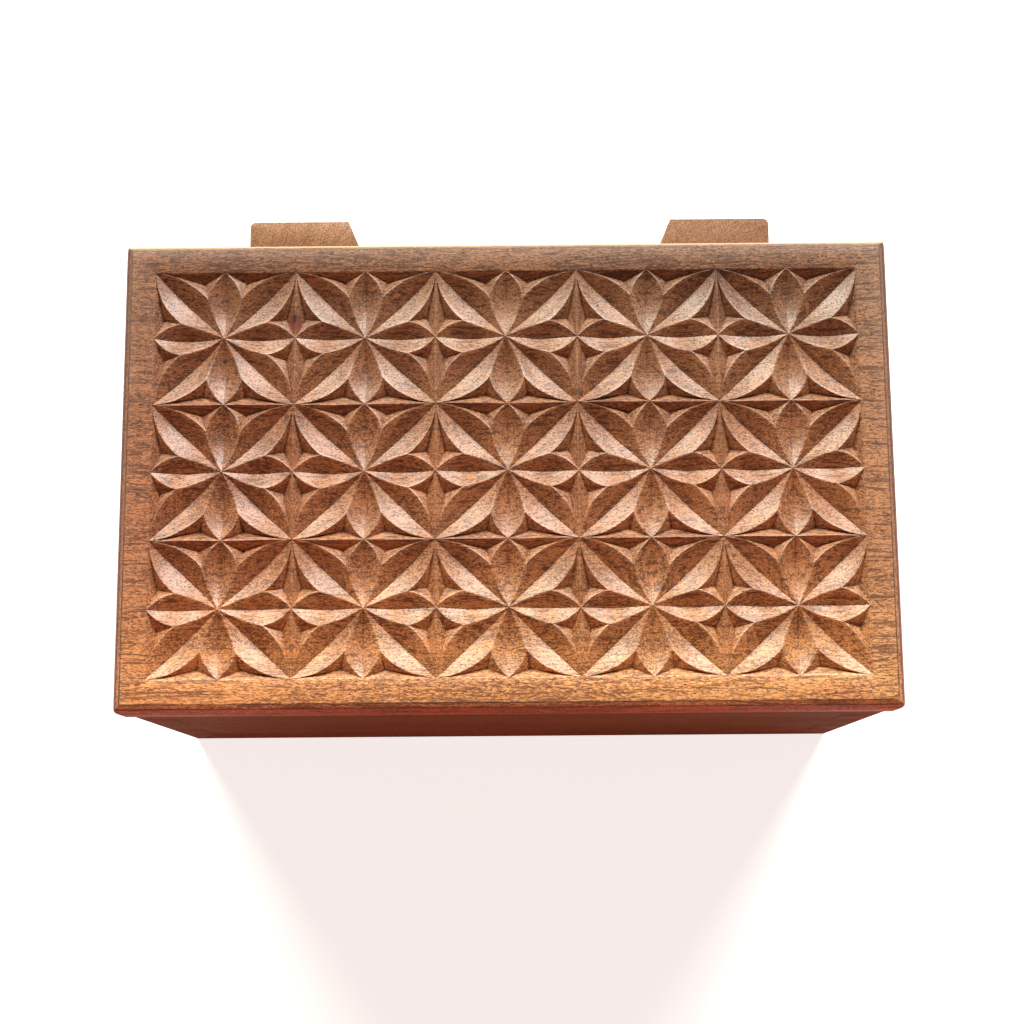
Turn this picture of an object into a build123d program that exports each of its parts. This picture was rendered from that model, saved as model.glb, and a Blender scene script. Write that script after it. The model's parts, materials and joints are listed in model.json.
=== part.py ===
from build123d import *
from math import atan2, degrees, hypot, radians, tan
import os

# Wooden puzzle box with a carved, hinged lid.  Millimetres, +Z up, the lid's hinges at +Y.
# The origin is the middle of the box's footprint, hinge blocks included, at the surface it stands on.

# Lid
lid_width = 200.0
lid_depth = 123.2
lid_thickness = 12.0
edge_bevel = 1.1            # narrow 45 degree facet round the top
edge_slope_run = 1.1        # steeper facet below it
edge_slope_drop = 3.0
border = 8.4                # plain margin round the carved field
columns = 5
rows = 3
groove_angle = 31.0         # slope of the leaf grooves' sides
straight_leaf = 4.5         # half width of a leaf that runs to the middle of a cell's edge
corner_leaf = 4.75          # half width of a leaf that runs to a cell's corner
land = 0.25                 # flat left between neighbouring cuts
pit_depth = 2.3
pit_fork = (0.61, 0.24)     # where two leaves part, as shares of half a cell
pit_bottom = (0.86, 0.304)

# Case
case_height = 110.0
wall = 9.0
overhang = 1.0              # lid past the case on every side
fingers = 5                 # box-joint fingers down each corner

# Sliding base, fixed floor and the lock channel behind the front wall
base_bottom = 5.0
base_thickness = 6.0
base_travel = 6.0
base_groove_long = 4.0      # depth in the front and back walls
base_groove_side = 6.6      # depth in the side walls
groove_slack = 0.2
edge_slack = 0.3
floor_bottom = 14.0
floor_thickness = 4.0
floor_groove = 3.0
channel = 9.0
inner_wall_thickness = 5.0
inner_wall_lift = 1.0       # clear of the sliding base
rail_bottom = case_height - 6.0
rail_top = case_height - 2.0

# Keepers on the lid and the hooks that catch them
catch_spacing = 120.0
catch_gap = 2.2             # clear of the front wall, for the lid's opening arc
catch_thickness = 4.0
plate_width = 8.0
toe_length = 6.0
toe_height = 4.0
keeper_drop = 16.0
catch_clearance = 0.4
hook_rest_gap = 1.0
notch_slack = (3.0, 0.6)    # room round a keeper in its notch, along and across the rail
foot_width = 16.0
foot_height = 5.0

# Hinges
hinge_spacing = 108.4
hinge_shift = 1.0           # the pair sits a little to the right
hinge_width = 28.8          # leaf, at the lid's edge
leaf_taper = 2.8            # the leaf narrows on its inner side
knuckle_width = 22.0
pin_length = 23.2
hinge_offset = 3.5          # pin axis behind the lid's back edge
knuckle_radius = 3.2
pin_radius = 1.5
tongue_width = 9.0
slot_width = 9.4
leaf_height = 8.0
bridge_gap = 0.3
knuckle_drop = 4.5
knuckle_height = 36.0
knuckle_bevel = 4.0
corner_round = 1.5
dowel_radius = 1.25
dowel_spacing = 16.0
leaf_dowel_height = 5.6
leaf_dowel_depth = 9.0
knuckle_dowel_depth = 5.0

# Lid battens
batten_width = 10.0
batten_thickness = 8.0
batten_spacing = 150.0
batten_inset = 4.0
batten_back_gap = 10.0
screw_radius = 1.5
screw_head_radius = 3.0
screw_length = 12.5
screw_pitch = 28.0
screws = 3                  # in each batten
drive_slot_width = 0.9
drive_slot_depth = 0.8

# Secret peg
peg_radius = 2.0
peg_head_radius = 4.5
peg_head_thickness = 2.6
peg_bite = 4.0
peg_travel = 5.0
peg_hole_slack = 0.3
peg_hole_spare = 1.0        # the hole runs on past the peg's tip
peg_tip_chamfer = 0.4
peg_head_round = 0.8

running_fit = 0.05
glued_fit = 0.02

# Worked out from the above
block_depth = hinge_offset + knuckle_radius
lid_y = -block_depth / 2
lid_back = lid_y + lid_depth / 2
case_width = lid_width - 2 * overhang
case_depth = lid_depth - 2 * overhang
inner_width = case_width - 2 * wall
inner_depth = case_depth - 2 * wall
front_inside = lid_y - inner_depth / 2
back_inside = lid_y + inner_depth / 2
case_front = front_inside - wall
case_back = back_inside + wall
finger_height = case_height / fingers
base_top = base_bottom + base_thickness
base_middle = base_bottom + base_thickness / 2
base_x = base_travel / 2
inner_wall_front = front_inside + channel
inner_wall_back = inner_wall_front + inner_wall_thickness
inner_wall_bottom = base_top + inner_wall_lift
pin_y = lid_back + hinge_offset
pin_z = case_height
catch_y = front_inside + catch_gap + catch_thickness / 2
batten_front = inner_wall_back + batten_inset
batten_back = back_inside - batten_back_gap
batten_length = batten_back - batten_front
batten_y = (batten_front + batten_back) / 2
cell_x = (lid_width - 2 * border) / columns
cell_y = (lid_depth - 2 * border) / rows
half_cell = (cell_x / 2, cell_y / 2)
lid_top = case_height + lid_thickness
sides = {"left": -1, "right": 1}
hinge_x = {side: hinge_shift + side * hinge_spacing / 2 for side in sides.values()}

os.makedirs("parts", exist_ok=True)


def save(part, name):
    part.label = name
    export_step(part, f"parts/{name}.step")


def long_wall(name, y_middle, inward):
    """Front or back board: full width, with the top, middle and bottom corner fingers."""
    with BuildPart() as board:
        with BuildSketch(Plane.XZ.offset(-y_middle)):
            with Locations((0, case_height / 2)):
                Rectangle(case_width, case_height)
            notches = [(side * case_width / 2, (row + 0.5) * finger_height)
                       for side in (-1, 1) for row in range(1, fingers, 2)]
            with Locations(notches):
                Rectangle(2 * wall, finger_height, mode=Mode.SUBTRACT)
        extrude(amount=wall / 2, both=True)
        inner_face = y_middle + inward * wall / 2
        with Locations((0, inner_face, base_middle)):
            Box(inner_width + 2 * base_groove_side, 2 * base_groove_long,
                base_thickness + 2 * groove_slack, mode=Mode.SUBTRACT)
        if inward < 0:
            with Locations((0, inner_face, floor_bottom + floor_thickness / 2)):
                Box(inner_width + 2 * floor_groove, 2 * floor_groove, floor_thickness, mode=Mode.SUBTRACT)
            with Locations(Plane.XZ.offset(-y_middle)):
                with Locations((0, base_middle)):
                    Cylinder(peg_radius + running_fit, 2 * wall, mode=Mode.SUBTRACT)
            with BuildSketch(Plane.XZ.offset(-case_back)):
                with Locations(knuckle_dowel_points()):
                    Circle(dowel_radius + glued_fit)
            extrude(amount=knuckle_dowel_depth, mode=Mode.SUBTRACT)
    save(board.part, name)


def knuckle_dowel_points():
    """Two dowels, one above the other, in each hinge knuckle."""
    top = pin_z - knuckle_drop - (knuckle_height - dowel_spacing) / 2
    return [(x, top - step * dowel_spacing) for x in hinge_x.values() for step in (0, 1)]


def leaf_dowel_points():
    """Two dowels, side by side, in each hinge leaf."""
    return [(x + step * dowel_spacing / 2, pin_z + leaf_dowel_height)
            for x in hinge_x.values() for step in (-1, 1)]


def side_wall(name, side):
    """Left or right board: full depth, with the second and fourth corner fingers."""
    with BuildPart() as board:
        with BuildSketch(Plane.YZ.offset(side * (case_width - wall) / 2)):
            with Locations((lid_y, case_height / 2)):
                Rectangle(case_depth, case_height)
            notches = [(lid_y + end * case_depth / 2, (row + 0.5) * finger_height)
                       for end in (-1, 1) for row in range(0, fingers, 2)]
            with Locations(notches):
                Rectangle(2 * wall, finger_height, mode=Mode.SUBTRACT)
        extrude(amount=wall / 2, both=True)
        with Locations((side * inner_width / 2, lid_y, base_middle)):
            Box(2 * base_groove_side, inner_depth, base_thickness + 2 * groove_slack, mode=Mode.SUBTRACT)
        floor_y = (inner_wall_back + back_inside) / 2
        with Locations((side * inner_width / 2, floor_y, floor_bottom + floor_thickness / 2)):
            Box(2 * floor_groove, back_inside - inner_wall_back, floor_thickness, mode=Mode.SUBTRACT)
    save(board.part, name)


def leaf_arcs(end, half_width):
    """Centres and radius of the two arcs that bound a leaf from a cell's middle to end."""
    length = hypot(*end)
    across = (-end[1] / length, end[0] / length)
    radius = (length * length / 4 + half_width * half_width) / (2 * half_width)
    reach = radius - half_width
    centres = [(end[0] / 2 + s * across[0] * reach, end[1] / 2 + s * across[1] * reach) for s in (1, -1)]
    return centres, radius


def leaf_cutter(end, half_width):
    """A leaf's V groove: what two cones share, points down, one about each arc's centre."""
    centres, radius = leaf_arcs(end, half_width)
    radius -= land
    depth = radius * tan(radians(groove_angle))
    first, second = [Pos(x, y, -depth / 2) * Cone(0, radius, depth) for x, y in centres]
    return first & second


def leaf_prism(end, half_width):
    """The leaf's outline, one land wider, carried down past the pits."""
    centres, radius = leaf_arcs(end, half_width)
    first, second = [Pos(x, y, 0) * Cylinder(radius + land, 3 * pit_depth) for x, y in centres]
    return first & second


def pit_cutter(corner, along_y):
    """Three-sided pit between a cell's edge, its straight leaf and its corner leaf."""
    def place(towards_edge, beside):
        pair = (beside, towards_edge) if along_y else (towards_edge, beside)
        return tuple(sign * share * half for sign, share, half in zip(corner, pair, half_cell))

    edge = 1 - land / min(half_cell)
    rim = [Vector(*place(edge, 0)), Vector(*place(edge, 1)), Vector(*place(*pit_fork))]
    bottom = Vector(*place(*pit_bottom), -pit_depth)
    faces = [Face(Wire.make_polygon([a, b, bottom], close=True)) for a, b in zip(rim, rim[1:] + rim[:1])]
    faces.append(Face(Wire.make_polygon(rim, close=True)))
    straight_end = (0, corner[1] * half_cell[1]) if along_y else (corner[0] * half_cell[0], 0)
    corner_end = (corner[0] * half_cell[0], corner[1] * half_cell[1])
    pit = Solid(Shell(faces))
    return pit - leaf_prism(straight_end, straight_leaf) - leaf_prism(corner_end, corner_leaf)


def cell_cutters():
    """Everything that is carved out of one cell: eight leaves and eight pits."""
    corners = [(x, y) for x in (-1, 1) for y in (-1, 1)]
    leaves = [leaf_cutter((x * half_cell[0], y * half_cell[1]), corner_leaf) for x, y in corners]
    for x, y in ((1, 0), (-1, 0), (0, 1), (0, -1)):
        leaves.append(leaf_cutter((x * half_cell[0], y * half_cell[1]), straight_leaf))
    pits = [pit_cutter(corner, along_y) for corner in corners for along_y in (False, True)]
    return [leaves[0].fuse(*leaves[1:]), *pits]


carving = cell_cutters()

long_wall("front_wall", case_front + wall / 2, 1)
long_wall("back_wall", case_back - wall / 2, -1)
for side_name, side in sides.items():
    side_wall(f"{side_name}_wall", side)

with BuildPart() as floor_panel:
    with BuildSketch(Plane.XY.offset(floor_bottom)):
        with Locations((0, (inner_wall_back + back_inside + floor_groove) / 2)):
            Rectangle(inner_width + 2 * floor_groove, back_inside + floor_groove - inner_wall_back)
    extrude(amount=floor_thickness)
save(floor_panel.part, "floor_panel")

with BuildPart() as inner_wall:
    with BuildSketch(Plane.XY.offset(inner_wall_bottom)):
        with Locations((0, (inner_wall_front + inner_wall_back) / 2)):
            Rectangle(inner_width, inner_wall_thickness)
    extrude(amount=rail_top - inner_wall_bottom)
save(inner_wall.part, "inner_wall")


def keeper_left_edge(side):
    return side * catch_spacing / 2 - (plate_width + toe_length) / 2 - hook_rest_gap


with BuildPart() as lock_rail:
    with BuildSketch(Plane.XY.offset(rail_bottom)):
        with Locations((0, front_inside + channel / 2)):
            Rectangle(inner_width, channel)
        notch_depth = catch_gap + catch_thickness + notch_slack[1]
        notch_width = plate_width + toe_length + notch_slack[0]
        notches = [(keeper_left_edge(side) + (plate_width + toe_length) / 2, front_inside + notch_depth / 2)
                   for side in sides.values()]
        with Locations(notches):
            Rectangle(notch_width, notch_depth, mode=Mode.SUBTRACT)
    extrude(amount=rail_top - rail_bottom)
save(lock_rail.part, "lock_rail")

with BuildPart() as lid_board:
    with BuildSketch(Plane.XY.offset(case_height)):
        with Locations((0, lid_y)):
            Rectangle(lid_width, lid_depth)
    extrude(amount=lid_thickness - edge_slope_drop - edge_bevel)
    with BuildSketch(Plane.XY.offset(lid_top - edge_slope_drop - edge_bevel)):
        with Locations((0, lid_y)):
            Rectangle(lid_width, lid_depth)
    extrude(amount=edge_slope_drop, taper=degrees(atan2(edge_slope_run, edge_slope_drop)))
    with BuildSketch(Plane.XY.offset(lid_top - edge_bevel)):
        with Locations((0, lid_y)):
            Rectangle(lid_width - 2 * edge_slope_run, lid_depth - 2 * edge_slope_run)
    extrude(amount=edge_bevel, taper=45)
    with Locations((0, lid_y, lid_top)):
        with GridLocations(cell_x, cell_y, columns, rows):
            add(carving, mode=Mode.SUBTRACT)
    with BuildSketch(Plane.XZ.offset(-lid_back)):
        with Locations(leaf_dowel_points()):
            Circle(dowel_radius + glued_fit)
    extrude(amount=leaf_dowel_depth, mode=Mode.SUBTRACT)
    with BuildSketch(Plane.XY.offset(case_height)):
        for side in sides.values():
            with Locations((side * batten_spacing / 2, batten_y)):
                with GridLocations(1, screw_pitch, 1, screws):
                    Circle(screw_radius + running_fit)
    extrude(amount=screw_length - batten_thickness, mode=Mode.SUBTRACT)
save(lid_board.part, "lid_board")

for side_name, side in sides.items():
    with BuildPart() as batten:
        with BuildSketch(Plane.XY.offset(case_height - batten_thickness)):
            with Locations((side * batten_spacing / 2, batten_y)):
                Rectangle(batten_width, batten_length)
        extrude(amount=batten_thickness)
        underside = Plane((side * batten_spacing / 2, batten_y, case_height - batten_thickness),
                          x_dir=(1, 0, 0), z_dir=(0, 0, -1))
        with Locations(underside):
            with GridLocations(1, screw_pitch, 1, screws):
                CounterSinkHole(screw_radius + running_fit, screw_head_radius + 2 * running_fit,
                                depth=batten_thickness, counter_sink_angle=90)
    save(batten.part, f"lid_batten_{side_name}")

    with BuildPart() as keeper:
        edge = keeper_left_edge(side)
        with BuildSketch(Plane.XZ.offset(-catch_y)):
            with Locations((edge, case_height - keeper_drop)):
                Rectangle(plate_width, keeper_drop, align=(Align.MIN, Align.MIN))
                Rectangle(plate_width + toe_length, toe_height, align=(Align.MIN, Align.MIN))
        extrude(amount=catch_thickness / 2, both=True)
    save(keeper.part, f"keeper_{side_name}")

    with BuildPart() as hook_post:
        post_left = edge + plate_width + 2 * toe_length + hook_rest_gap
        hook_bottom = case_height - keeper_drop + toe_height + catch_clearance
        with BuildSketch(Plane.XZ.offset(-catch_y)):
            with Locations((post_left, base_top)):
                Rectangle(plate_width, hook_bottom + toe_height - base_top, align=(Align.MIN, Align.MIN))
            with Locations((post_left - toe_length, hook_bottom)):
                Rectangle(toe_length + plate_width, toe_height, align=(Align.MIN, Align.MIN))
            with Locations((post_left + plate_width / 2, base_top)):
                Rectangle(foot_width, foot_height, align=(Align.CENTER, Align.MIN))
        extrude(amount=catch_thickness / 2, both=True)
    save(hook_post.part, f"hook_post_{side_name}")

with BuildPart() as batten_screws:
    for side in sides.values():
        head_plane = Plane((side * batten_spacing / 2, batten_y, case_height - batten_thickness))
        with BuildSketch(head_plane):
            with GridLocations(1, screw_pitch, 1, screws):
                Circle(screw_radius)
        extrude(amount=screw_length)
        with BuildSketch(head_plane):
            with GridLocations(1, screw_pitch, 1, screws):
                Circle(screw_head_radius)
        extrude(amount=screw_head_radius - screw_radius, taper=45)
        with Locations(head_plane):
            with GridLocations(1, screw_pitch, 1, screws):
                Box(2 * screw_head_radius, drive_slot_width, 2 * drive_slot_depth, mode=Mode.SUBTRACT)
save(batten_screws.part, "batten_screws")

for side_name, side in sides.items():
    middle = hinge_x[side]
    with BuildPart() as hinge_leaf:
        with BuildSketch(Plane.YZ.offset(middle)):
            with Locations((pin_y, pin_z)):
                Circle(knuckle_radius)
            with Locations((lid_back, pin_z)):
                Rectangle(block_depth, leaf_height, align=(Align.MIN, Align.MIN))
        extrude(amount=hinge_width / 2, both=True)
        fillet(hinge_leaf.edges().filter_by(Axis.Z).group_by(Axis.Y)[-1], corner_round)
        # the inner side runs in towards the back
        inner = middle - side * hinge_width / 2
        with BuildSketch(Plane.XY.offset(pin_z - knuckle_radius)):
            with BuildLine():
                Polyline((inner, lid_back), (inner, pin_y + knuckle_radius),
                         (inner + side * leaf_taper, pin_y + knuckle_radius), close=True)
            make_face()
        extrude(amount=leaf_height + knuckle_radius, mode=Mode.SUBTRACT)
        with Locations((middle, pin_y, pin_z + knuckle_radius + bridge_gap)):
            Box(slot_width, 4 * knuckle_radius, 4 * knuckle_radius,
                align=(Align.CENTER, Align.CENTER, Align.MAX), mode=Mode.SUBTRACT)
        with BuildSketch(Plane.YZ.offset(middle)):
            with Locations((pin_y, pin_z)):
                Circle(pin_radius + running_fit)
        extrude(amount=hinge_width, both=True, mode=Mode.SUBTRACT)
        with BuildSketch(Plane.XZ.offset(-pin_y)):
            with Locations(leaf_dowel_points()):
                Circle(dowel_radius + glued_fit)
        extrude(amount=2 * knuckle_radius, both=True, mode=Mode.SUBTRACT)
    save(hinge_leaf.part, f"hinge_leaf_{side_name}")

    with BuildPart() as hinge_knuckle:
        lug_depth = pin_y + knuckle_radius - case_back
        with BuildSketch(Plane.YZ.offset(middle)):
            with Locations((case_back, pin_z - knuckle_drop)):
                Rectangle(lug_depth, knuckle_height, align=(Align.MIN, Align.MAX))
        extrude(amount=knuckle_width / 2, both=True)
        lowest_edges = hinge_knuckle.edges().filter_by(Axis.X).group_by(Axis.Z)[0]
        chamfer(lowest_edges.sort_by(Axis.Y)[-1], knuckle_bevel)
        with BuildSketch(Plane.YZ.offset(middle)):
            with Locations((pin_y, pin_z)):
                Circle(knuckle_radius)
            with Locations((case_back, pin_z - knuckle_drop)):
                Rectangle(lug_depth - knuckle_radius, knuckle_drop - bridge_gap, align=(Align.MIN, Align.MIN))
            with Locations((pin_y, pin_z - knuckle_drop)):
                Rectangle(knuckle_radius, knuckle_drop, align=(Align.MIN, Align.MIN))
        extrude(amount=tongue_width / 2, both=True)
        with BuildSketch(Plane.YZ.offset(middle)):
            with Locations((pin_y, pin_z)):
                Circle(pin_radius + glued_fit)
        extrude(amount=tongue_width, both=True, mode=Mode.SUBTRACT)
        with BuildSketch(Plane.XZ.offset(-pin_y)):
            with Locations(knuckle_dowel_points()):
                Circle(dowel_radius + glued_fit)
        extrude(amount=2 * lug_depth, both=True, mode=Mode.SUBTRACT)
    save(hinge_knuckle.part, f"hinge_knuckle_{side_name}")

    with BuildPart() as hinge_pin:
        with BuildSketch(Plane.YZ.offset(middle)):
            with Locations((pin_y, pin_z)):
                Circle(pin_radius)
        extrude(amount=pin_length / 2, both=True)
    save(hinge_pin.part, f"hinge_pin_{side_name}")

with BuildPart() as leaf_dowels:
    with BuildSketch(Plane.XZ.offset(-(pin_y + knuckle_radius))):
        with Locations(leaf_dowel_points()):
            Circle(dowel_radius)
    extrude(amount=block_depth + leaf_dowel_depth)
save(leaf_dowels.part, "leaf_dowels")

with BuildPart() as knuckle_dowels:
    with BuildSketch(Plane.XZ.offset(-(pin_y + knuckle_radius))):
        with Locations(knuckle_dowel_points()):
            Circle(dowel_radius)
    extrude(amount=pin_y + knuckle_radius - case_back + knuckle_dowel_depth)
save(knuckle_dowels.part, "knuckle_dowels")

with BuildPart() as base_panel:
    base_length = inner_width + 2 * base_groove_side - base_travel - 2 * edge_slack
    base_depth = inner_depth + 2 * (base_groove_long - edge_slack)
    with BuildSketch(Plane.XY.offset(base_bottom)):
        with Locations((base_x, lid_y)):
            Rectangle(base_length, base_depth)
    extrude(amount=base_thickness)
    # two peg holes in the back edge, one for each end of the panel's travel
    with BuildSketch(Plane.XZ.offset(-(lid_y + base_depth / 2))):
        with Locations((0, base_middle), (base_travel, base_middle)):
            Circle(peg_radius + peg_hole_slack)
    extrude(amount=peg_bite + peg_hole_spare, mode=Mode.SUBTRACT)
save(base_panel.part, "base_panel")

with BuildPart() as secret_peg:
    peg_tip = lid_y + base_depth / 2 - peg_bite + peg_travel
    head_y = case_back + peg_travel
    with BuildSketch(Plane.XZ.offset(-head_y)):
        with Locations((0, base_middle)):
            Circle(peg_radius)
    extrude(amount=head_y - peg_tip)
    with BuildSketch(Plane.XZ.offset(-(head_y + peg_head_thickness))):
        with Locations((0, base_middle)):
            Circle(peg_head_radius)
    extrude(amount=peg_head_thickness)
    chamfer(secret_peg.edges().group_by(Axis.Y)[0], peg_tip_chamfer)
    fillet(secret_peg.edges().group_by(Axis.Y)[-1], peg_head_round)
save(secret_peg.part, "secret_peg")
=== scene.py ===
import json
import math
import bpy
from mathutils import Matrix, Vector, noise


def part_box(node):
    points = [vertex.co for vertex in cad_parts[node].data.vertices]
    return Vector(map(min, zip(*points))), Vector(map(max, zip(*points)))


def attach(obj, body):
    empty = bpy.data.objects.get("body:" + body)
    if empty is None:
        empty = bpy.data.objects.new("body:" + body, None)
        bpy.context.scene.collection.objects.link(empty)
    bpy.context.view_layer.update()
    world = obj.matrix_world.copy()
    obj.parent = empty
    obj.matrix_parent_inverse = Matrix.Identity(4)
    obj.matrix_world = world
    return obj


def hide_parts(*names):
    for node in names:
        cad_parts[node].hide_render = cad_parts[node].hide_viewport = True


# A wooden puzzle box with a chip-carved lid: finished surfaces round the fixed CAD model, in metres, +Z up

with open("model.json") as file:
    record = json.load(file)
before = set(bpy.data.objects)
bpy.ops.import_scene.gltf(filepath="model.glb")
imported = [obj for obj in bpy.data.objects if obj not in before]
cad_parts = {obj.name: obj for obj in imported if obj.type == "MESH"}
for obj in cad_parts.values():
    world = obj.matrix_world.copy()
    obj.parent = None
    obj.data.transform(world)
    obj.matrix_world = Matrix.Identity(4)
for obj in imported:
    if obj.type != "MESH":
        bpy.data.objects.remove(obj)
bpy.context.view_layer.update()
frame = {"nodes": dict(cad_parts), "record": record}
MM = 0.001

# ---------------------------------------------------------------- sizes, read from the frame

LID_LOW, LID_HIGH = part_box("lid_board")
LID_MIDDLE = (LID_LOW + LID_HIGH) / 2
LID_SIZE = LID_HIGH - LID_LOW
BORDER = 8.4 * MM
COLUMNS, ROWS = 5, 3
FIELD = Vector((LID_SIZE.x - 2 * BORDER, LID_SIZE.y - 2 * BORDER))
CELL = Vector((FIELD.x / COLUMNS, FIELD.y / ROWS))
EDGE_BEVEL = 1.1 * MM
EDGE_SLOPE_RUN = 1.1 * MM
EDGE_SLOPE_DROP = 3.0 * MM
CORNER_ROUND = 2.2 * MM
KNOT = Vector((-55.0, 36.2)) * MM

# The carving, in shares of a cell, on one eighth of it: between the straight leaf and the corner leaf
STRAIGHT_LEAF = 0.125
CORNER_LEAF = 0.132
GROOVE_SLOPE = math.tan(math.radians(31))
PIT_BOTTOM = Vector((0.43, 0.152))
PIT_DEPTH = 0.064
RIDGE_DROP = 0.0022
KNIFE_SEED = 7
# The ridge width takes the pale line along the ridges: wear with painted highlight.
RIDGE_WIDTH = 0.07          # share of a leaf's half width
# The next two place the dark line of painted shade, with some grime, along the leaves' keels and at the
# bottoms of the pits.
KEEL_SHADE_WIDTH = 0.05
PIT_SHADE_START = 0.68             # where the dark line at the bottom of a pit begins, as a share of the way down

# The knife's wanderings: a long slow one and a short quick one
SWAY_LENGTH, SWAY = 17 * MM, 0.34 * MM
QUIVER_LENGTH, QUIVER = 5 * MM, 0.10 * MM
SWAY_DEPTH, QUIVER_DEPTH = 0.16, 0.05
STEADY_EDGE = 3 * MM


# ---------------------------------------------------------------- small modelling helpers

def deselect():
    if bpy.context.object and bpy.context.object.mode != "OBJECT":
        bpy.ops.object.mode_set(mode="OBJECT")
    bpy.ops.object.select_all(action="DESELECT")


def pick(*pieces):
    """Selects these pieces alone; the first one is active."""
    deselect()
    for piece in pieces:
        piece.select_set(True)
    bpy.context.view_layer.objects.active = pieces[0]


def edit(piece, mode="VERT"):
    pick(piece)
    bpy.ops.object.mode_set(mode="EDIT")
    bpy.ops.mesh.select_mode(type=mode)


def leave():
    bpy.ops.object.mode_set(mode="OBJECT")


def merge(piece, distance):
    edit(piece)
    bpy.ops.mesh.select_all(action="SELECT")
    bpy.ops.mesh.remove_doubles(threshold=distance)
    leave()


def outward(piece):
    edit(piece)
    bpy.ops.mesh.select_all(action="SELECT")
    bpy.ops.mesh.normals_make_consistent(inside=False)
    leave()


def smooth(piece, angle):
    pick(piece)
    bpy.ops.object.shade_smooth_by_angle(angle=math.radians(angle))


def settle(piece, body, slot, *nodes):
    """Names the body a finished piece moves with and hides the CAD nodes it stands for; the slot, its finish,
    is not used.
    """
    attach(piece, body)
    if nodes:
        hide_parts(*nodes)
    return piece


BODY_OF = {node: body for body, nodes in frame["record"]["behaviour"]["bodies"].items() for node in nodes}
SLOT_OF = {part["node"]: part["material_slot"] for part in frame["record"]["subparts"]}


def eased(node, ease, material, edge_shade=None):
    """The node's own shape, merged to whole faces, with its sharp edges taken off as sandpaper does.
    A second finish, if given, goes on those narrow edges alone: a darker one, which paints shade along the
    seams and edges."""
    mesh = frame["nodes"][node].data.copy()
    piece = bpy.data.objects.new(f"{node}_sanded", mesh)
    bpy.context.scene.collection.objects.link(piece)
    mesh.materials.clear()
    mesh.materials.append(material)
    if edge_shade:
        mesh.materials.append(edge_shade)
    edit(piece)
    bpy.ops.mesh.select_all(action="SELECT")
    bpy.ops.mesh.remove_doubles(threshold=0.002 * MM)
    bpy.ops.mesh.dissolve_limited(angle_limit=math.radians(0.5))
    leave()
    bevel = piece.modifiers.new("ease", "BEVEL")
    bevel.width = ease
    bevel.segments = 2
    bevel.limit_method = "ANGLE"
    bevel.angle_limit = math.radians(35)
    bevel.material = 1 if edge_shade else -1
    pick(piece)
    bpy.ops.object.modifier_apply(modifier="ease")
    smooth(piece, 40)
    return settle(piece, BODY_OF[node], SLOT_OF[node], node)


# ---------------------------------------------------------------- the carved lid

class Leaf:
    """A leaf groove from a cell's middle: two arcs, and two cone faces that meet along its keel."""

    def __init__(self, length, half_width):
        self.length = length
        self.radius = (length * length / 4 + half_width * half_width) / (2 * half_width)
        self.reach = self.radius - half_width

    def half_width_at(self, along):
        return math.sqrt(self.radius ** 2 - (along - self.length / 2) ** 2) - self.reach

    def depth(self, along, across):
        return GROOVE_SLOPE * (self.radius - math.hypot(along - self.length / 2, across + self.reach))


straight = Leaf(0.5, STRAIGHT_LEAF)
corner = Leaf(math.sqrt(0.5), CORNER_LEAF)
DIAGONAL = Vector((math.sqrt(0.5), math.sqrt(0.5)))


def ridge_across(along):
    """How far from the straight leaf's keel its ridge with the corner leaf runs."""
    low, high = 0.0, along
    for _ in range(40):
        across = (low + high) / 2
        point = Vector((along, across))
        beside = (along - across) * math.sqrt(0.5)
        if straight.depth(along, across) > corner.depth(point.dot(DIAGONAL), beside):
            low = across
        else:
            high = across
    return (low + high) / 2


def fork_along():
    """Where that ridge comes up to the surface and the two leaves part."""
    low, high = 0.2, 0.45
    for _ in range(40):
        along = (low + high) / 2
        if straight.depth(along, ridge_across(along)) > 0:
            low = along
        else:
            high = along
    return (low + high) / 2


FORK = Vector((fork_along(), ridge_across(fork_along())))
RIDGE_STEPS, STRAIGHT_STEPS, CORNER_STEPS, EDGE_STEPS = 8, 9, 15, 9
ACROSS_LEAF = (0.0, 0.04, 0.28, 0.52, 0.76, 0.93, 1.0)
ACROSS_PIT = (0.0, 0.07, 0.36, 0.68, 1.0)


def ridge_points():
    alongs = [FORK.x * step / RIDGE_STEPS for step in range(RIDGE_STEPS + 1)]
    return [Vector((along, ridge_across(along))) for along in alongs]


def straight_arc():
    spans = [FORK.x + (0.5 - FORK.x) * step / STRAIGHT_STEPS for step in range(STRAIGHT_STEPS + 1)]
    return [Vector((along, max(0.0, straight.half_width_at(along)))) for along in spans]


def corner_arc():
    start = FORK.dot(DIAGONAL)
    spans = [start + (corner.length - start) * step / CORNER_STEPS for step in range(CORNER_STEPS + 1)]
    side = Vector((DIAGONAL.y, -DIAGONAL.x))
    return [along * DIAGONAL + max(0.0, corner.half_width_at(along)) * side for along in spans]


def cell_edge():
    return [Vector((0.5, 0.5 * step / EDGE_STEPS)) for step in range(EDGE_STEPS + 1)]


def laid_grid(rims, row_from):
    """A grid laid by rows. row_from(rim point) gives a row's points, each with its pale ridge line (wear with
    painted highlight) and its keel line (painted shade with grime), 0 to 1.
    """
    rows = [row_from(rim) for rim in rims]
    bpy.ops.mesh.primitive_grid_add(x_subdivisions=len(rows[0]) - 1, y_subdivisions=len(rows) - 1, size=1)
    patch = bpy.context.object
    width = len(rows[0])
    # One attribute carries the pale ridge line, wear with painted highlight; the other carries painted shade
    # with grime along the keels.
    wear_and_highlight = patch.data.attributes.new("wear_and_highlight", "FLOAT", "POINT")
    keel = patch.data.attributes.new("keel", "FLOAT", "POINT")
    for index, vertex in enumerate(patch.data.vertices):
        point, ridge, groove = rows[index // width][index % width]
        vertex.co = point
        wear_and_highlight.data[index].value = ridge
        keel.data[index].value = groove
    return patch


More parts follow.
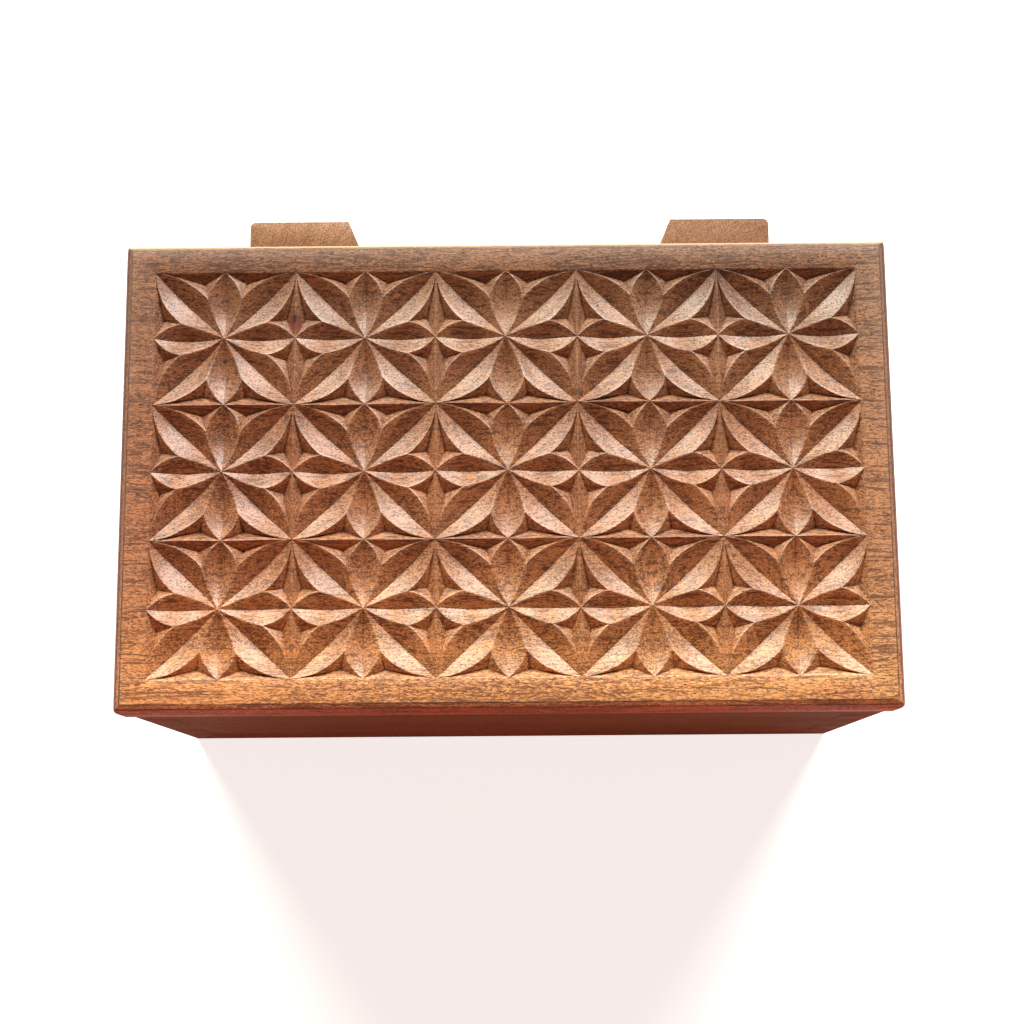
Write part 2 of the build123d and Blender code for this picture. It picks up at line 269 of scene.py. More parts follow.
def leaf_row(leaf, direction, side):
    def row(rim):
        along, across = rim.dot(direction), rim.dot(side)
        points = []
        for share in ACROSS_LEAF:
            place = along * direction + share * across * side
            depth = max(0.0, leaf.depth(along, share * across))
            if share == 1.0:
                depth += RIDGE_DROP
            # Towards the ridge the point takes the pale line of wear with painted highlight.
            worn_and_lit = max(0.0, share - (1 - RIDGE_WIDTH)) / RIDGE_WIDTH
            # Towards the keel the point takes painted shade with some grime.
            dark = max(0.0, KEEL_SHADE_WIDTH - share) / KEEL_SHADE_WIDTH
            points.append((Vector((place.x, place.y, -depth)), worn_and_lit, dark))
        return points
    return row


def pit_row(rim):
    points = []
    for share in ACROSS_PIT:
        place = rim.lerp(PIT_BOTTOM, share)
        drop = RIDGE_DROP if share == 0.0 else 0.0
        # The pit's rim takes the pale line of wear with painted highlight.
        worn_and_lit = 1.0 if share == 0.0 else 0.0
        # Towards the pit's bottom the point takes painted shade with some grime.
        dark = max(0.0, share - PIT_SHADE_START) / (1 - PIT_SHADE_START)
        points.append((Vector((place.x, place.y, -share * PIT_DEPTH - drop)), worn_and_lit, dark))
    return points


def carved_eighth():
    """Half a straight leaf, half a corner leaf and the three faces of the pit between them."""
    across_diagonal = Vector((DIAGONAL.y, -DIAGONAL.x))
    straight_rims = ridge_points() + straight_arc()[1:]
    corner_rims = ridge_points() + corner_arc()[1:]
    patches = [
        laid_grid(straight_rims, leaf_row(straight, Vector((1, 0)), Vector((0, 1)))),
        laid_grid(corner_rims, leaf_row(corner, DIAGONAL, across_diagonal)),
        laid_grid(straight_arc(), pit_row),
        laid_grid(corner_arc(), pit_row),
        laid_grid(cell_edge(), pit_row),
    ]
    pick(*patches)
    bpy.ops.object.join()
    return bpy.context.object


def copies(piece, matrices):
    """Copies of a piece, one for each matrix, joined to one mesh."""
    made = []
    for matrix in matrices:
        copy = piece.copy()
        copy.data = piece.data.copy()
        copy.data.transform(matrix)
        bpy.context.scene.collection.objects.link(copy)
        made.append(copy)
    bpy.data.objects.remove(piece)
    pick(*made)
    bpy.ops.object.join()
    return bpy.context.object


def carved_field():
    turns = []
    for quarter in range(4):
        turn = Matrix.Rotation(quarter * math.pi / 2, 4, "Z")
        turns += [turn, turn @ Matrix.Scale(-1, 4, (0, 1, 0))]
    cell = copies(carved_eighth(), turns)
    merge(cell, 0.0008)
    cell.data.transform(Matrix.Diagonal((CELL.x, CELL.y, (CELL.x + CELL.y) / 2, 1)))
    places = []
    for column in range(COLUMNS):
        for row in range(ROWS):
            x = LID_MIDDLE.x + (column - (COLUMNS - 1) / 2) * CELL.x
            y = LID_MIDDLE.y + (row - (ROWS - 1) / 2) * CELL.y
            places.append(Matrix.Translation((x, y, LID_HIGH.z)))
    field = copies(cell, places)
    merge(field, 0.02 * MM)
    return field


def hand_cut(field):
    """Small wanderings of the knife, which die away at the field's straight outer line."""
    noise.seed_set(KNIFE_SEED)
    for vertex in field.data.vertices:
        point = vertex.co
        inside = min(FIELD.x / 2 - abs(point.x - LID_MIDDLE.x), FIELD.y / 2 - abs(point.y - LID_MIDDLE.y))
        hold = min(1.0, max(0.0, inside / STEADY_EDGE))
        depth = LID_HIGH.z - point.z
        sway = noise.noise_vector(Vector((point.x, point.y, 0)) / SWAY_LENGTH)
        fine = noise.noise_vector(Vector((point.x, point.y, 40 * MM)) / QUIVER_LENGTH)
        point.x += hold * (SWAY * sway.x + QUIVER * fine.x)
        point.y += hold * (SWAY * sway.y + QUIVER * fine.y)
        deeper = 1 + SWAY_DEPTH * sway.z + QUIVER_DEPTH * fine.z
        point.z = LID_HIGH.z - depth * (1 + hold * (deeper - 1))


def ring(size, new_size, drop):
    """Extrudes the open rim and brings it to a new size, lower by drop."""
    bpy.ops.mesh.extrude_edges_move()
    bpy.ops.transform.resize(value=(new_size.x / size.x, new_size.y / size.y, 1),
                             center_override=LID_MIDDLE)
    bpy.ops.transform.translate(value=(0, 0, -drop))
    return new_size


def lid(material):
    field = carved_field()
    hand_cut(field)
    edit(field, "EDGE")
    bpy.ops.mesh.select_all(action="DESELECT")
    bpy.ops.mesh.select_non_manifold(extend=False, use_wire=False, use_boundary=True,
                                     use_multi_face=False, use_non_contiguous=False, use_verts=False)
    outer = Vector((LID_SIZE.x, LID_SIZE.y))
    top = outer - Vector((1, 1)) * 2 * (EDGE_BEVEL + EDGE_SLOPE_RUN)
    soft = 0.18 * MM
    size = ring(FIELD, FIELD + Vector((1, 1)) * 0.5 * MM, -RIDGE_DROP * (CELL.x + CELL.y) / 2)
    size = ring(size, size + (top - size) * 0.5, 0)
    size = ring(size, top - Vector((1, 1)) * 2 * soft, 0)
    size = ring(size, top + Vector((1, 1)) * soft, 0.35 * soft)
    size = ring(size, outer - Vector((1, 1)) * 2 * (EDGE_SLOPE_RUN + 0.5 * soft),
                EDGE_BEVEL - 0.8 * soft)
    size = ring(size, outer - Vector((1, 1)) * 2 * EDGE_SLOPE_RUN * 0.86, 1.4 * soft)
    size = ring(size, outer - Vector((1, 1)) * 0.5 * soft, EDGE_SLOPE_DROP - 2.2 * soft)
    size = ring(size, outer, 1.3 * soft)
    lowest = LID_HIGH.z - EDGE_BEVEL - EDGE_SLOPE_DROP - 0.5 * soft
    size = ring(size, outer, lowest - LID_LOW.z - 2 * soft)
    size = ring(size, outer - Vector((1, 1)) * 1.2 * soft, 1.4 * soft)
    size = ring(size, outer - Vector((1, 1)) * 4 * soft, 0.4 * soft)
    bpy.ops.mesh.edge_face_add()
    round_corners(field, outer)
    for vertex in field.data.vertices:
        if vertex.co.z < LID_LOW.z + 0.1 * soft:
            vertex.co.z = LID_LOW.z
    paint_border(field, top)
    outward(field)
    field.name = "carved_lid"
    field.data.materials.clear()
    field.data.materials.append(material)
    smooth(field, 24)
    return settle(field, "lid", "lid_wood", "lid_board")


def round_corners(piece, outer):
    """Takes the four upright corners off in plan, with three flat cuts each."""
    edit(piece)
    for sign_x in (-1, 1):
        for sign_y in (-1, 1):
            inset = outer / 2 - Vector((CORNER_ROUND, CORNER_ROUND))
            middle = LID_MIDDLE + Vector((sign_x * inset.x, sign_y * inset.y, 0))
            for turn in (67.5, 45, 22.5):
                angle = math.radians(turn)
                away = Vector((sign_x * math.cos(angle), sign_y * math.sin(angle), 0))
                bpy.ops.mesh.select_all(action="SELECT")
                bpy.ops.mesh.bisect(plane_co=middle + CORNER_ROUND * away, plane_no=away, use_fill=True,
                                    clear_outer=True, threshold=0.001 * MM)
    leave()


def paint_border(piece, top):
    """Outside the carving, only the corners of the edge profile near the top get the pale line of wear with
    painted highlight, and nothing gets painted shade.
    """
    wear_and_highlight, keel = piece.data.attributes["wear_and_highlight"], piece.data.attributes["keel"]
    slack = 0.3 * MM
    for index, vertex in enumerate(piece.data.vertices):
        x, y = abs(vertex.co.x - LID_MIDDLE.x), abs(vertex.co.y - LID_MIDDLE.y)
        if x < FIELD.x / 2 - slack and y < FIELD.y / 2 - slack:
            continue
        on_arris = x > top.x / 2 - slack or y > top.y / 2 - slack
        wear_and_highlight.data[index].value = 0.55 if on_arris and vertex.co.z > LID_HIGH.z - 1.6 * MM else 0.0
        keel.data[index].value = 0.0


# ---------------------------------------------------------------- shader helpers

def node(tree, kind, inputs=None, **settings):
    made = tree.nodes.new(kind)
    for key, value in settings.items():
        setattr(made, key, value)
    for key, value in (inputs or {}).items():
        if isinstance(value, bpy.types.NodeSocket):
            tree.links.new(value, made.inputs[key])
        else:
            made.inputs[key].default_value = value
    return made


def maths(tree, operation, a, b=0.0, clamp=False):
    made = node(tree, "ShaderNodeMath", {0: a, 1: b}, operation=operation)
    made.use_clamp = clamp
    return made.outputs[0]


def vector_maths(tree, operation, a, b=(0, 0, 0)):
    made = node(tree, "ShaderNodeVectorMath", {0: a, 1: b}, operation=operation)
    return made.outputs["Value" if operation == "LENGTH" else "Vector"]


def span(tree, value, low, high, to_low=0.0, to_high=1.0):
    return node(tree, "ShaderNodeMapRange", {"Value": value, "From Min": low, "From Max": high,
                                             "To Min": to_low, "To Max": to_high},
                interpolation_type="SMOOTHSTEP").outputs[0]


def blend(tree, share, a, b, mode="MIX"):
    made = node(tree, "ShaderNodeMix", {"Factor": share}, data_type="RGBA", blend_type=mode)
    for socket, value in ((made.inputs[6], a), (made.inputs[7], b)):
        if isinstance(value, bpy.types.NodeSocket):
            tree.links.new(value, socket)
        else:
            socket.default_value = (*value[:3], 1)
    return made.outputs[2]


def group(name, inputs, outputs):
    """A node group with named sockets; returns its tree and its input sockets."""
    tree = bpy.data.node_groups.new(name, "ShaderNodeTree")
    for label, kind, value in inputs:
        socket = tree.interface.new_socket(label, in_out="INPUT", socket_type=kind)
        if value is not None:
            socket.default_value = value
    for label, kind in outputs:
        tree.interface.new_socket(label, in_out="OUTPUT", socket_type=kind)
    return tree, tree.nodes.new("NodeGroupInput").outputs


def finish_group(tree, values):
    end = tree.nodes.new("NodeGroupOutput")
    for label, value in values.items():
        tree.links.new(value, end.inputs[label])
    return tree


FLOAT, VECTOR, COLOUR = "NodeSocketFloat", "NodeSocketVector", "NodeSocketColor"


def timber_group():
    """Solid wood with its grain along X, in millimetres: rings about a far pith, fibres, flecks and pores."""
    tree, given = group("timber", [
        ("Place", VECTOR, None), ("Pith", VECTOR, None), ("Ring Width", FLOAT, 3.0),
        ("Pore Size", FLOAT, 0.3), ("Pore Share", FLOAT, 0.5), ("Ring Strength", FLOAT, 0.5),
        ("Fibre Strength", FLOAT, 0.5),
        ("Fleck Strength", FLOAT, 0.5), ("Streak Strength", FLOAT, 0.4), ("Dark", COLOUR, None),
        ("Light", COLOUR, None), ("Pore", COLOUR, None)],
        [("Color", COLOUR), ("Height", FLOAT), ("Roughness", FLOAT), ("Closed", FLOAT)])
    place = given["Place"]

    def drawn_out(along, across, detail=2.0, rough=0.5, source=None):
        """Noise stretched along the grain; the two numbers are its repeats in a millimetre."""
        vector = vector_maths(tree, "MULTIPLY", source or place, (along, across, across))
        return node(tree, "ShaderNodeTexNoise", {"Vector": vector, "Scale": 1.0, "Detail": detail,
                                                 "Roughness": rough}).outputs

    def about_zero(value, strength):
        return maths(tree, "MULTIPLY", maths(tree, "SUBTRACT", value, 0.5), strength)

    slow = drawn_out(0.006, 0.022)["Color"]
    bend = vector_maths(tree, "MULTIPLY", vector_maths(tree, "SUBTRACT", slow, (0.5, 0.5, 0.5)), (0, 26, 26))
    bent = vector_maths(tree, "ADD", place, bend)
    from_pith = vector_maths(tree, "MULTIPLY", vector_maths(tree, "SUBTRACT", bent, given["Pith"]), (0, 1, 1))
    ring = maths(tree, "DIVIDE", vector_maths(tree, "LENGTH", from_pith), given["Ring Width"])
    years = node(tree, "ShaderNodeTexNoise", {"W": ring, "Scale": 0.8, "Detail": 4.0, "Roughness": 0.72},
                 noise_dimensions="1D").outputs["Fac"]
    wander = maths(tree, "ADD", ring, maths(tree, "MULTIPLY", years, 2.2))
    late = maths(tree, "POWER", maths(tree, "FRACT", wander), 3.0)
    rings = maths(tree, "ADD", maths(tree, "MULTIPLY", span(tree, years, 0.3, 0.7), 0.65),
                  maths(tree, "MULTIPLY", maths(tree, "SUBTRACT", 1.0, late), 0.35))
    fibre = drawn_out(0.10, 2.6, 4.0, 0.66, bent)["Fac"]
    patchy = drawn_out(0.016, 0.045, 3.0)["Fac"]

    def tubes(along, across):
        """Cells drawn out along the grain: how far from the middle of one, and one random number for each."""
        vector = vector_maths(tree, "MULTIPLY", place, (along, across, across))
        cells = node(tree, "ShaderNodeTexVoronoi", {"Vector": vector, "Scale": 1.0, "Randomness": 1.0})
        chance = node(tree, "ShaderNodeSeparateColor", {"Color": cells.outputs["Color"]}).outputs[0]
        return cells.outputs["Distance"], chance

    fleck = tubes(1.3, 4.2)[1]
    distance, chance = tubes(0.85, 2.7)
    valley = drawn_out(0.06, 1.25, 3.0, 0.62, bent)["Fac"]
    streak = maths(tree, "MULTIPLY", span(tree, valley, 0.39, 0.45, 1.0, 0.0), given["Streak Strength"])
    open_pore = maths(tree, "LESS_THAN", chance, given["Pore Share"])
    half = maths(tree, "MULTIPLY", given["Pore Size"], 0.5)
    hole = maths(tree, "MULTIPLY", open_pore, span(tree, distance, half, given["Pore Size"], 1.0, 0.0))
    tone = about_zero(rings, given["Ring Strength"])
    tone = maths(tree, "ADD", tone, about_zero(fibre, given["Fibre Strength"]))
    tone = maths(tree, "ADD", tone, about_zero(fleck, given["Fleck Strength"]))
    tone = maths(tree, "ADD", maths(tree, "ADD", tone, about_zero(patchy, 0.7)), 0.5, clamp=True)
    colour = blend(tree, tone, given["Dark"], given["Light"])
    colour = blend(tree, streak, colour, given["Dark"])
    colour = blend(tree, maths(tree, "MULTIPLY", hole, 0.85), colour, given["Pore"])
    height = maths(tree, "SUBTRACT", maths(tree, "MULTIPLY", fibre, 0.35), hole)
    rough = maths(tree, "ADD", maths(tree, "MULTIPLY", fibre, 0.16), maths(tree, "MULTIPLY", hole, 0.4))
    closed = maths(tree, "SUBTRACT", 1.0, hole)
    return finish_group(tree, {"Color": colour, "Height": height, "Roughness": rough, "Closed": closed})


TIMBER = timber_group()

GRAIN_TURN = {"X": (0, 0, 0), "Y": (0, 0, -math.pi / 2), "Z": (0, math.pi / 2, 0)}
GRAIN_RELIEF = 0.05 * MM
RING_STRENGTH = 0.5
COAT_ROUGHNESS = 0.43


def wood(name, grain, dark, light, pore, shift=(0, 0, 0), pith=(0, 30, -70), ring=3.0, pores=0.4,
         pore_size=0.4, fibres=0.8, flecks=0.5, streaks=0.4, gloss=0.42, oil=0.3, sheen=0.4, after=None):
    """A wood material whose grain runs along one axis; after() may add what one piece alone shows."""
    material = bpy.data.materials.new(name)
    material.use_nodes = True
    tree = material.node_tree
    shader = tree.nodes["Principled BSDF"]
    place = node(tree, "ShaderNodeTexCoord").outputs["Object"]
    mapped = node(tree, "ShaderNodeMapping", {"Vector": place, "Location": shift,
                                              "Rotation": GRAIN_TURN[grain],
                                              "Scale": (1 / MM, 1 / MM, 1 / MM)}).outputs[0]
    made = tree.nodes.new("ShaderNodeGroup")
    made.node_tree = TIMBER
    tree.links.new(mapped, made.inputs["Place"])
    for label, value in (("Pith", pith), ("Ring Width", ring), ("Pore Size", pore_size),
                         ("Pore Share", pores), ("Ring Strength", RING_STRENGTH), ("Fibre Strength", fibres),
                         ("Fleck Strength", flecks), ("Streak Strength", streaks),
                         ("Dark", (*dark, 1)), ("Light", (*light, 1)), ("Pore", (*pore, 1))):
        made.inputs[label].default_value = value
    colour = made.outputs["Color"]
    oiled = maths(tree, "MULTIPLY", made.outputs["Closed"], oil)
    if after:
        colour, oily = after(tree, colour, place)
        oiled = maths(tree, "MULTIPLY", oiled, oily)
    if oil > 0:
        tree.links.new(oiled, shader.inputs["Coat Weight"])
    tree.links.new(colour, shader.inputs["Base Color"])
    tree.links.new(maths(tree, "ADD", made.outputs["Roughness"], gloss), shader.inputs["Roughness"])
    shader.inputs["Specular IOR Level"].default_value = sheen
    bump = node(tree, "ShaderNodeBump", {"Height": made.outputs["Height"], "Strength": 0.7,
                                         "Distance": GRAIN_RELIEF})
    tree.links.new(bump.outputs[0], shader.inputs["Normal"])
    shader.inputs["Coat Roughness"].default_value = COAT_ROUGHNESS
    return material


# Factors on the lid's colour by region: darker and greyer towards the back, lighter towards the front; the
# side factor is painted shade
DARKER_AT_BACK = (0.56, 0.66, 0.76)
LIGHTER_AT_FRONT = (1.62, 1.79, 1.60)
GOLDEN = (1.03, 1.13, 1.15)
FRONT_BORDER = (1.20, 1.21, 1.19)
RIGHT_BORDER = (1.06, 1.14, 1.20)
SIDE_SHADE = (0.60, 0.20, 0.11)

# Colours of the lid's marks: wear with painted highlight on the ridges, painted shade with grime in the
# keels, the knot and its slit, painted shadow lines with dirt round the edge profile, and a painted highlight
# on the back edge
RIDGE_WEAR_AND_HIGHLIGHT = (0.74, 0.42, 0.25)
KEEL_SHADE_AND_GRIME = (0.09, 0.03, 0.014)
KNOT_RED = (0.20, 0.035, 0.013)
KNOT_SLIT = (0.008, 0.003, 0.002)
ARRIS_SHADOW_AND_DIRT = (0.10, 0.03, 0.013)
BACK_EDGE_HIGHLIGHT = (0.92, 0.62, 0.36)


def carved_finish(tree, colour, place):
    """What the lid alone shows: pale ridge lines of wear with painted highlight, painted shade with grime in
    the keels, darker and greyer towards the back, paler towards the front, a red knot, painted shade on the
    sides, painted shadow lines with dirt round the edge profile and a painted highlight along its back edge.
    The second output is where oil shines."""
    wear_and_highlight = node(tree, "ShaderNodeAttribute", attribute_name="wear_and_highlight").outputs["Fac"]
    keel = node(tree, "ShaderNodeAttribute", attribute_name="keel").outputs["Fac"]
    spot = node(tree, "ShaderNodeTexNoise", {"Vector": place, "Scale": 260.0, "Detail": 3.0}).outputs["Fac"]
    x, y, z = node(tree, "ShaderNodeSeparateXYZ", {"Vector": place}).outputs
    towards_front = span(tree, y, LID_LOW.y + 46 * MM, LID_LOW.y + 3 * MM)
    front_border = span(tree, y, LID_LOW.y + 9.2 * MM, LID_LOW.y + 8.2 * MM)
    right_border = span(tree, x, LID_HIGH.x - 13 * MM, LID_HIGH.x - 7 * MM)
    golden = span(tree, x, LID_LOW.x + 5 * MM, LID_LOW.x + 110 * MM)
    towards_back = span(tree, y, LID_HIGH.y - 75 * MM, LID_HIGH.y)
    colour = blend(tree, maths(tree, "MULTIPLY", towards_back, 0.8), colour, DARKER_AT_BACK, "MULTIPLY")
    colour = blend(tree, towards_front, colour, LIGHTER_AT_FRONT, "MULTIPLY")
    colour = blend(tree, golden, colour, GOLDEN, "MULTIPLY")
    colour = blend(tree, front_border, colour, FRONT_BORDER, "MULTIPLY")
    colour = blend(tree, right_border, colour, RIGHT_BORDER, "MULTIPLY")
    # The ridges take a pale line of wear with painted highlight.
    worn_and_lit = maths(tree, "MULTIPLY", wear_and_highlight, span(tree, spot, 0.35, 0.65, 0.05, 0.28))
    colour = blend(tree, worn_and_lit, colour, RIDGE_WEAR_AND_HIGHLIGHT)
    # Painted shade, with some grime, darkens the keels and the bottoms of the pits.
    dark = maths(tree, "MULTIPLY", keel, span(tree, spot, 0.3, 0.6, 0.2, 0.5))
    colour = blend(tree, dark, colour, KEEL_SHADE_AND_GRIME)

    def from_knot(width, height, shift=0.0):
        """How far from the knot, in its own radii."""
        offset = vector_maths(tree, "SUBTRACT", place, (KNOT.x, KNOT.y + shift, 0))
        in_radii = vector_maths(tree, "MULTIPLY", offset, (1 / width, 1 / height, 0))
        return vector_maths(tree, "LENGTH", in_radii)

    knot = span(tree, from_knot(1.9 * MM, 2.9 * MM), 0.5, 1.2, 0.9, 0.0)
    colour = blend(tree, knot, colour, KNOT_RED)
    slit = span(tree, from_knot(0.5 * MM, 1.3 * MM, 1.1 * MM), 0.6, 1.1, 1.0, 0.0)
    colour = blend(tree, slit, colour, KNOT_SLIT)

    top = EDGE_BEVEL + EDGE_SLOPE_RUN
    beyond_x = maths(tree, "SUBTRACT", maths(tree, "ABSOLUTE", x), LID_SIZE.x / 2 - top)
    beyond_y = maths(tree, "SUBTRACT", maths(tree, "ABSOLUTE", maths(tree, "SUBTRACT", y, LID_MIDDLE.y)),
                     LID_SIZE.y / 2 - top)
    beyond = maths(tree, "MAXIMUM", beyond_x, beyond_y)
    above = span(tree, z, LID_LOW.z + 1 * MM, LID_LOW.z + 3 * MM)
    # Past the bevel the lid's sides are made darker and redder: painted shade.
    side_shade_mask = span(tree, beyond, EDGE_BEVEL - 0.15 * MM, EDGE_BEVEL + 0.15 * MM)
    colour = blend(tree, side_shade_mask, colour, SIDE_SHADE, "MULTIPLY")
    # Thin dark lines round the edge profile: painted shadow lines, with some dirt.
    for line, strength in ((0.0, 0.9), (EDGE_BEVEL, 0.6)):
        off_line = maths(tree, "ABSOLUTE", maths(tree, "SUBTRACT", beyond, line))
        arris_shadow = maths(tree, "MULTIPLY", above, span(tree, off_line, 0.06 * MM, 0.3 * MM, strength, 0.0))
        colour = blend(tree, maths(tree, "MULTIPLY", arris_shadow, span(tree, spot, 0.3, 0.6, 0.5, 1.0)), colour,
                       ARRIS_SHADOW_AND_DIRT)
    # A pale line along the back edge, just below the bevel: painted highlight.
    back_edge = LID_HIGH.y - EDGE_SLOPE_RUN
    back_edge_lit = span(tree, y, back_edge - 0.5 * MM, back_edge - 0.2 * MM, 0.0, 0.75)
    bevel_foot = LID_HIGH.z - EDGE_BEVEL
    high = span(tree, z, bevel_foot - 0.7 * MM, bevel_foot - 0.3 * MM)
    colour = blend(tree, maths(tree, "MULTIPLY", back_edge_lit, high), colour, BACK_EDGE_HIGHLIGHT)
    oiled = span(tree, beyond, 0.2 * MM, 0.7 * MM, 1.0, 0.05)
    return colour, oiled


LID_DARK, LID_LIGHT = (0.125, 0.036, 0.013), (0.62, 0.245, 0.102)
CASE_DARK, CASE_LIGHT = (0.12, 0.030, 0.013), (0.31, 0.100, 0.046)
HINGE_DARK = {"left": (0.27, 0.122, 0.053), "right": (0.215, 0.089, 0.038)}
HINGE_LIGHT = {"left": (0.58, 0.315, 0.16), "right": (0.46, 0.228, 0.114)}
PALE_DARK, PALE_LIGHT = (0.40, 0.24, 0.125), (0.62, 0.42, 0.25)
PORE_BROWN = (0.06, 0.018, 0.008)
PORE_PALE = (0.2, 0.1, 0.05)
PORE_HINGE = (0.20, 0.09, 0.045)
# Darker colours for the eased edges of case and hinges: painted shade along the seams and edges.
CASE_EDGE_SHADE_DARK, CASE_EDGE_SHADE_LIGHT = (0.03, 0.010, 0.005), (0.10, 0.032, 0.015)
HINGE_EDGE_SHADE_DARK, HINGE_EDGE_SHADE_LIGHT = (0.10, 0.045, 0.02), (0.28, 0.14, 0.07)
BASE_DARK, BASE_LIGHT = (0.30, 0.15, 0.08), (0.52, 0.30, 0.17)
STEEL = (0.60, 0.59, 0.56)
BRASS = (0.75, 0.52, 0.24)


def case_wood(name, grain, shift):
    return wood(name, grain, CASE_DARK, CASE_LIGHT, PORE_BROWN, shift=shift, ring=3.4, gloss=0.66, oil=0.0,
                sheen=0.2)


def pale_wood(name, grain, shift):
    return wood(name, grain, PALE_DARK, PALE_LIGHT, PORE_PALE, shift=shift, ring=2.4, pores=0.2,
                pore_size=0.3, flecks=0.25, gloss=0.45)


def metal(name, colour, roughness):
    material = bpy.data.materials.new(name)
    material.use_nodes = True
    tree = material.node_tree
    shader = tree.nodes["Principled BSDF"]
    place = node(tree, "ShaderNodeTexCoord").outputs["Object"]
    grime = node(tree, "ShaderNodeTexNoise", {"Vector": place, "Scale": 1500.0, "Detail": 4.0})
    tarnish = grime.outputs["Fac"]
    dulled = tuple(channel * 0.75 for channel in colour)
    tarnished = blend(tree, span(tree, tarnish, 0.45, 0.75), colour, dulled)
    tree.links.new(tarnished, shader.inputs["Base Color"])
    tree.links.new(span(tree, tarnish, 0.3, 0.7, roughness, roughness + 0.25), shader.inputs["Roughness"])
    shader.inputs["Metallic"].default_value = 1.0
    return material


# ---------------------------------------------------------------- making the box

lid(wood("lid_walnut", "X", LID_DARK, LID_LIGHT, PORE_BROWN, pith=(0, 10, -40), ring=2.6, pores=0.8,
         pore_size=0.34, flecks=1.0, fibres=1.1, streaks=0.8, gloss=0.42, oil=1.0, sheen=0.6,
         after=carved_finish))

EASE = 0.35 * MM
CASE_EASE = 0.22 * MM
# The eased edges of the case and hinges take these darker finishes, which paint shade along the seams.
case_edge_shade = wood("case_edge_shade", "X", CASE_EDGE_SHADE_DARK, CASE_EDGE_SHADE_LIGHT, PORE_BROWN, gloss=0.6, oil=0.0)
hinge_edge_shade = wood("hinge_edge_shade", "Z", HINGE_EDGE_SHADE_DARK, HINGE_EDGE_SHADE_LIGHT, PORE_BROWN, gloss=0.6, oil=0.0)
for wall, grain, shift in (("front_wall", "X", (300, 40, 10)), ("back_wall", "X", (-200, 90, 5)),
                           ("left_wall", "Y", (120, 60, 30)), ("right_wall", "Y", (-80, 20, 60))):
    eased(wall, CASE_EASE, case_wood(f"{wall}_wood", grain, shift), case_edge_shade)

for number, side in enumerate(("left", "right")):
    tan = wood(f"hinge_wood_{side}", "Z", HINGE_DARK[side], HINGE_LIGHT[side], PORE_HINGE,
               shift=(20 + 55 * number, 9, 3), ring=2.0, pores=0.45, pore_size=0.42, flecks=1.1,
               streaks=0.1, gloss=0.5)
    eased(f"hinge_leaf_{side}", EASE, tan, hinge_edge_shade)
    eased(f"hinge_knuckle_{side}", EASE, tan, hinge_edge_shade)
    eased(f"lid_batten_{side}", EASE, pale_wood(f"batten_wood_{side}", "Y", (70 * number, 15, 8)))
    eased(f"keeper_{side}", EASE, pale_wood(f"keeper_wood_{side}", "Z", (33 * number, 25, 9)))
    eased(f"hook_post_{side}", EASE, pale_wood(f"post_wood_{side}", "Z", (44 * number, 5, 19)))
    eased(f"hinge_pin_{side}", 0.15 * MM, metal(f"pin_steel_{side}", STEEL, 0.25))

eased("floor_panel", 0.2 * MM, pale_wood("floor_wood", "X", (60, 210, 4)))
eased("inner_wall", EASE, pale_wood("inner_wall_wood", "X", (260, 10, 44)))
eased("lock_rail", EASE, pale_wood("rail_wood", "X", (160, 70, 14)))
eased("base_panel", EASE, wood("base_wood", "X", BASE_DARK, BASE_LIGHT, PORE_BROWN,
                               shift=(40, 330, 12), ring=3.2, gloss=0.48))
eased("secret_peg", 0.1 * MM, pale_wood("peg_wood", "Y", (9, 4, 2)))
eased("leaf_dowels", 0.12 * MM, pale_wood("leaf_dowel_wood", "Y", (19, 4, 2)))
eased("knuckle_dowels", 0.12 * MM, pale_wood("knuckle_dowel_wood", "Y", (29, 4, 2)))
eased("batten_screws", 0.1 * MM, metal("screw_brass", BRASS, 0.28))


# ---------------------------------------------------------------- stage, light and camera

FLOOR_SIZE = 8
FLOOR_GLOW = 0.75         # a glow that only the camera sees; it lightens the box's shadow on the floor
FLOOR_WHITE = (0.9, 0.9, 0.9, 1)
GLOW_COLOUR = (0.96, 0.99, 1, 1)
FILL_COLOUR = (1.0, 0.62, 0.45, 1)
CAMERA_PLACE = Vector((1.8, -98.4, 580.1)) * MM
CAMERA_TURN = (10.396, 0.163, -0.430)
CAMERA_LENS = 64.17


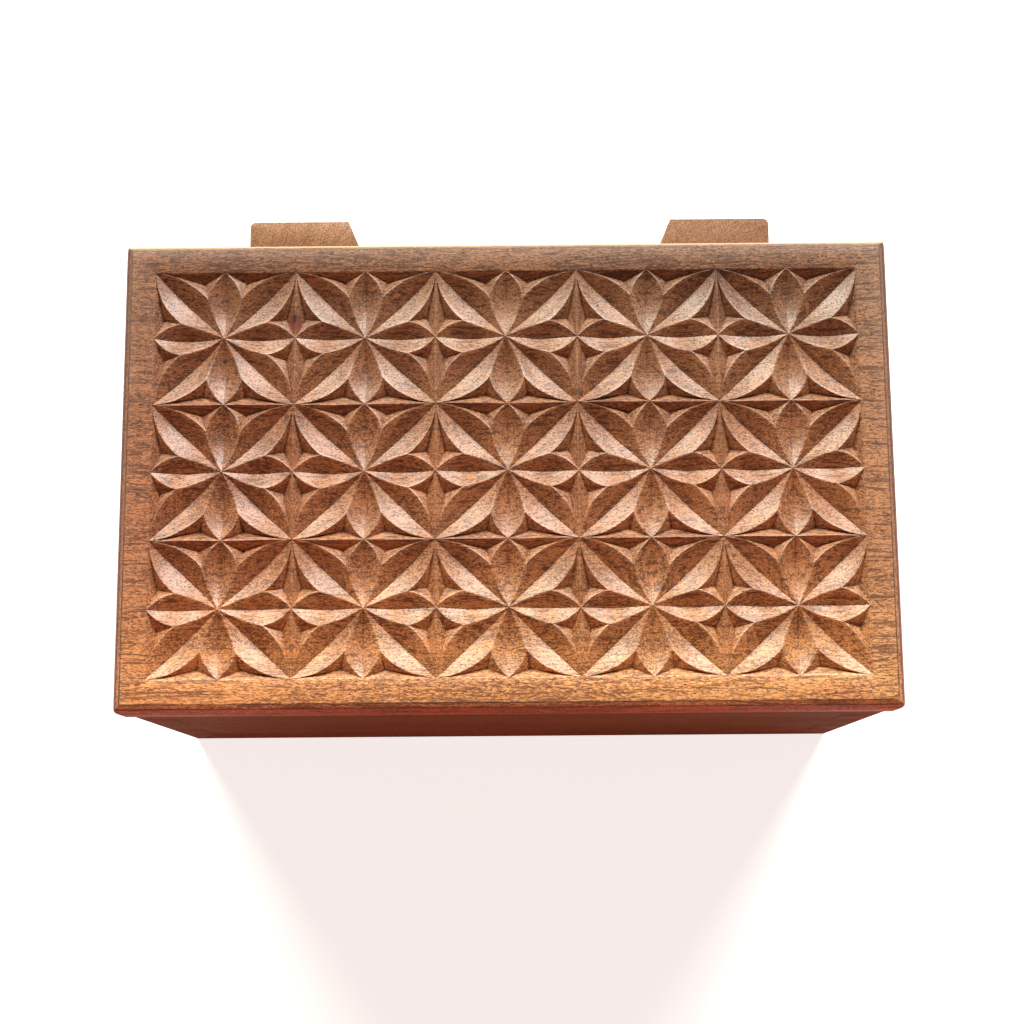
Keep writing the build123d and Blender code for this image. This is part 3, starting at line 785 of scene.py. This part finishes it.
def stage_floor():
    deselect()
    bpy.ops.mesh.primitive_plane_add(size=FLOOR_SIZE, location=(0, 0, 0))
    floor = bpy.context.object
    floor.name = "floor"
    material = bpy.data.materials.new("floor_paper")
    material.use_nodes = True
    tree = material.node_tree
    shader = tree.nodes["Principled BSDF"]
    shader.inputs["Base Color"].default_value = FLOOR_WHITE
    shader.inputs["Roughness"].default_value = 0.9
    shader.inputs["Emission Color"].default_value = GLOW_COLOUR
    seen = node(tree, "ShaderNodeLightPath").outputs["Is Camera Ray"]
    tree.links.new(maths(tree, "MULTIPLY", seen, FLOOR_GLOW), shader.inputs["Emission Strength"])
    floor.data.materials.append(material)


def area_light(name, place, target, size, power, colour, glint=True):
    deselect()
    bpy.ops.object.light_add(type="AREA", location=place)
    light = bpy.context.object
    light.name = name
    light.data.shape = "DISK"
    light.data.size = size
    light.data.energy = power
    light.data.color = colour
    light.visible_glossy = glint
    light.rotation_euler = (Vector(target) - Vector(place)).to_track_quat("-Z", "Y").to_euler()


def camera():
    bpy.ops.object.camera_add(location=CAMERA_PLACE, rotation=[math.radians(turn) for turn in CAMERA_TURN])
    made = bpy.context.object
    made.data.lens = CAMERA_LENS
    made.data.sensor_width = 36
    made.data.clip_start = 0.01
    bpy.context.scene.camera = made


def studio_world():
    """Dim warm light from all round; only the camera sees it as a pale backdrop."""
    world = bpy.data.worlds.new("studio")
    world.use_nodes = True
    tree = world.node_tree
    backdrop = node(tree, "ShaderNodeBackground", {"Color": (1, 1, 1, 1), "Strength": 0.8})
    fill = node(tree, "ShaderNodeBackground", {"Color": FILL_COLOUR, "Strength": 0.05})
    seen = node(tree, "ShaderNodeLightPath").outputs["Is Camera Ray"]
    mix = node(tree, "ShaderNodeMixShader", {0: seen, 1: fill.outputs[0], 2: backdrop.outputs[0]})
    tree.links.new(mix.outputs[0], tree.nodes["World Output"].inputs["Surface"])
    bpy.context.scene.world = world


LID_CENTRE = (0, 0, LID_HIGH.z)
stage_floor()
area_light("window_left", (-0.83, 1.63, 1.24), LID_CENTRE, 0.8, 43, (1.0, 0.955, 0.81))
area_light("window_right", (0.83, 1.63, 1.24), LID_CENTRE, 0.8, 47, (1.0, 0.945, 0.88))
area_light("front_fill", (0.0, -1.5, 0.75), LID_CENTRE, 1.2, 9.5, (1.0, 0.43, 0.27), glint=False)
studio_world()
bpy.context.scene.view_settings.view_transform = "Standard"
camera()
